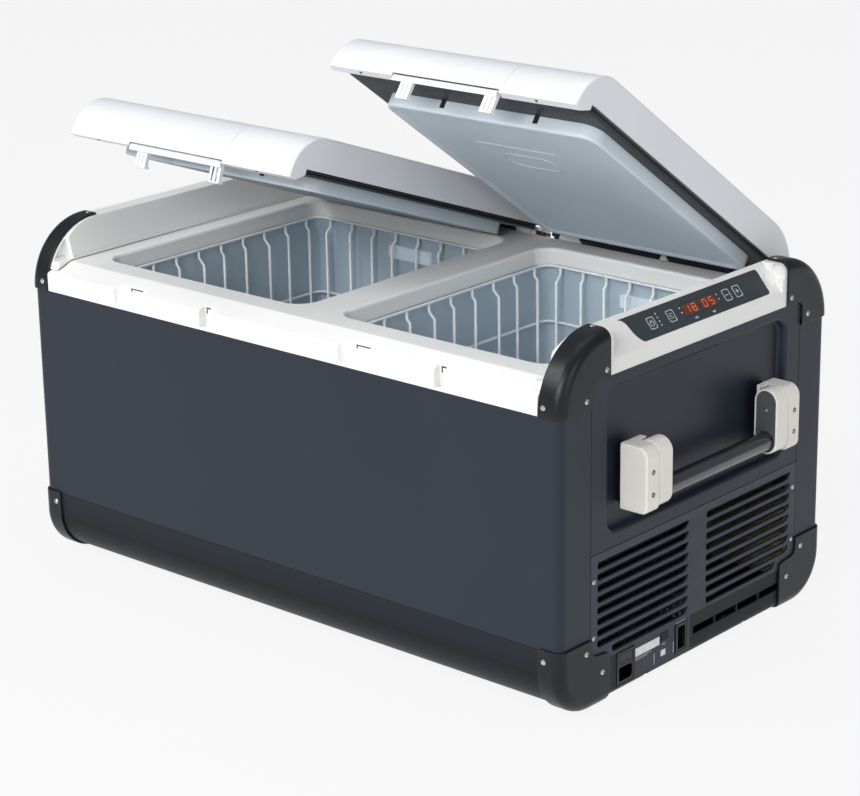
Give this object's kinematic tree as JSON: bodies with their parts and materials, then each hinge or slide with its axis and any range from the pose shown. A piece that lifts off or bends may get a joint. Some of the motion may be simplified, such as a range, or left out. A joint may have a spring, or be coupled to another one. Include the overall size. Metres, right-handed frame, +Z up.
{
  "type": "compressor cooler fridge",
  "caption": "Portable chest cooler fridge for vehicles with two hinged lids over separate compartments, a side control panel and drop handles.",
  "frame": {"origin": "centre of the footprint, on the surface the fridge stands on", "axes": "+X to the right along the long front, +Y to the rear, +Z up"},
  "size_m": [0.944, 0.53, 0.7157],
  "materials": {
    "casing_sheet": "satin",
    "dark_plastic": "satin",
    "white_plastic": "satin",
    "lid_white": "satin",
    "liner": "satin",
    "lid_liner": "satin",
    "gasket": "matte",
    "fascia": "satin",
    "display": "gloss",
    "handle_plastic": "satin",
    "handle_tube": "gloss",
    "basket_wire": "satin",
    "foam": "matte",
    "compressor_black": "satin",
    "aluminium": "satin",
    "electronics": "satin",
    "steel": "satin",
    "light_lens": "satin"
  },
  "bodies": {
    "root": {"top_cap_front_right": "dark_plastic", "base_guard_front_right": "dark_plastic", "top_cap_front_left": "dark_plastic", "base_guard_front_left": "dark_plastic", "top_cap_rear_right": "dark_plastic", "base_guard_rear_right": "dark_plastic", "top_cap_rear_left": "dark_plastic", "base_guard_rear_left": "dark_plastic", "front_casing": "casing_sheet", "rear_casing": "casing_sheet", "right_end_panel": "casing_sheet", "left_end_panel": "casing_sheet", "vent_grille": "dark_plastic", "ac_inlet": "dark_plastic", "dc_socket": "dark_plastic", "base_tray": "dark_plastic", "top_rim": "white_plastic", "left_end_housing": "white_plastic", "control_housing": "white_plastic", "control_fascia": "fascia", "display_window": "display", "large_liner": "liner", "small_liner": "liner", "large_evaporator": "aluminium", "small_evaporator": "aluminium", "insulation": "foam", "large_basket": "basket_wire", "small_basket": "basket_wire", "large_interior_light": "light_lens", "small_interior_light": "light_lens", "compressor": "compressor_black", "condenser": "aluminium", "fan_frame": "dark_plastic", "power_module": "electronics", "left_hinge_pin": "steel", "right_hinge_pin": "steel", "right_handle_bracket_front": "handle_plastic", "right_handle_bracket_rear": "handle_plastic", "left_handle_bracket_front": "handle_plastic", "left_handle_bracket_rear": "handle_plastic"},
    "fan_rotor": {"fan_rotor": "dark_plastic"},
    "fuse_drawer": {"fuse_drawer": "dark_plastic"},
    "left_lid": {"left_lid_shell": "lid_white", "left_lid_plug": "lid_liner", "left_lid_gasket": "gasket"},
    "left_latch": {"left_latch_lever": "lid_white"},
    "right_lid": {"right_lid_shell": "lid_white", "right_lid_plug": "lid_liner", "right_lid_gasket": "gasket"},
    "right_latch": {"right_latch_lever": "lid_white"},
    "right_handle": {"right_handle_arm_front": "handle_plastic", "right_handle_arm_rear": "handle_plastic", "right_handle_tube": "handle_tube"},
    "left_handle": {"left_handle_arm_front": "handle_plastic", "left_handle_arm_rear": "handle_plastic", "left_handle_tube": "handle_tube"},
    "power_key": {"power_key": "fascia"},
    "mode_key": {"mode_key": "fascia"},
    "minus_key": {"minus_key": "fascia"},
    "plus_key": {"plus_key": "fascia"}
  },
  "joints": [
    {"name": "left_lid_hinge", "type": "hinge", "parent": "root", "child": "left_lid", "pos_m": [0, 0.25, 0.397], "axis": [-1, 0, 0], "range_deg": [-19.8, 60.2]},
    {"name": "right_lid_hinge", "type": "hinge", "parent": "root", "child": "right_lid", "pos_m": [0, 0.25, 0.397], "axis": [-1, 0, 0], "range_deg": [-35.3, 44.7]},
    {"name": "left_latch_hinge", "type": "hinge", "parent": "left_lid", "child": "left_latch", "pos_m": [0, -0.23254, 0.56966], "axis": [-1, 0, 0], "range_deg": [0, 35], "stiffness_Nm_per_rad": 0.4},
    {"name": "right_latch_hinge", "type": "hinge", "parent": "right_lid", "child": "right_latch", "pos_m": [0, -0.16885, 0.69234], "axis": [-1, 0, 0], "range_deg": [0, 35], "stiffness_Nm_per_rad": 0.4},
    {"name": "right_handle_hinge", "type": "hinge", "parent": "root", "child": "right_handle", "pos_m": [0.4555, 0, 0.2955], "axis": [0, -1, 0], "range_deg": [0, 90]},
    {"name": "left_handle_hinge", "type": "hinge", "parent": "root", "child": "left_handle", "pos_m": [-0.4555, 0, 0.2955], "axis": [0, 1, 0], "range_deg": [0, 90]},
    {"name": "fan_spin", "type": "hinge", "parent": "root", "child": "fan_rotor", "pos_m": [0.352, -0.06, 0.09], "axis": [1, 0, 0], "continuous": true},
    {"name": "fuse_drawer_slide", "type": "slide", "parent": "root", "child": "fuse_drawer", "axis": [1, 0, 0], "range_m": [0, 0.012]},
    {"name": "power_key_press", "type": "slide", "parent": "root", "child": "power_key", "axis": [-0.7593, 0, -0.6508], "range_m": [0, 0.0006], "stiffness_N_per_m": 600},
    {"name": "mode_key_press", "type": "slide", "parent": "root", "child": "mode_key", "axis": [-0.7593, 0, -0.6508], "range_m": [0, 0.0006], "stiffness_N_per_m": 600},
    {"name": "minus_key_press", "type": "slide", "parent": "root", "child": "minus_key", "axis": [-0.7593, 0, -0.6508], "range_m": [0, 0.0006], "stiffness_N_per_m": 600},
    {"name": "plus_key_press", "type": "slide", "parent": "root", "child": "plus_key", "axis": [-0.7593, 0, -0.6508], "range_m": [0, 0.0006], "stiffness_N_per_m": 600}
  ]
}
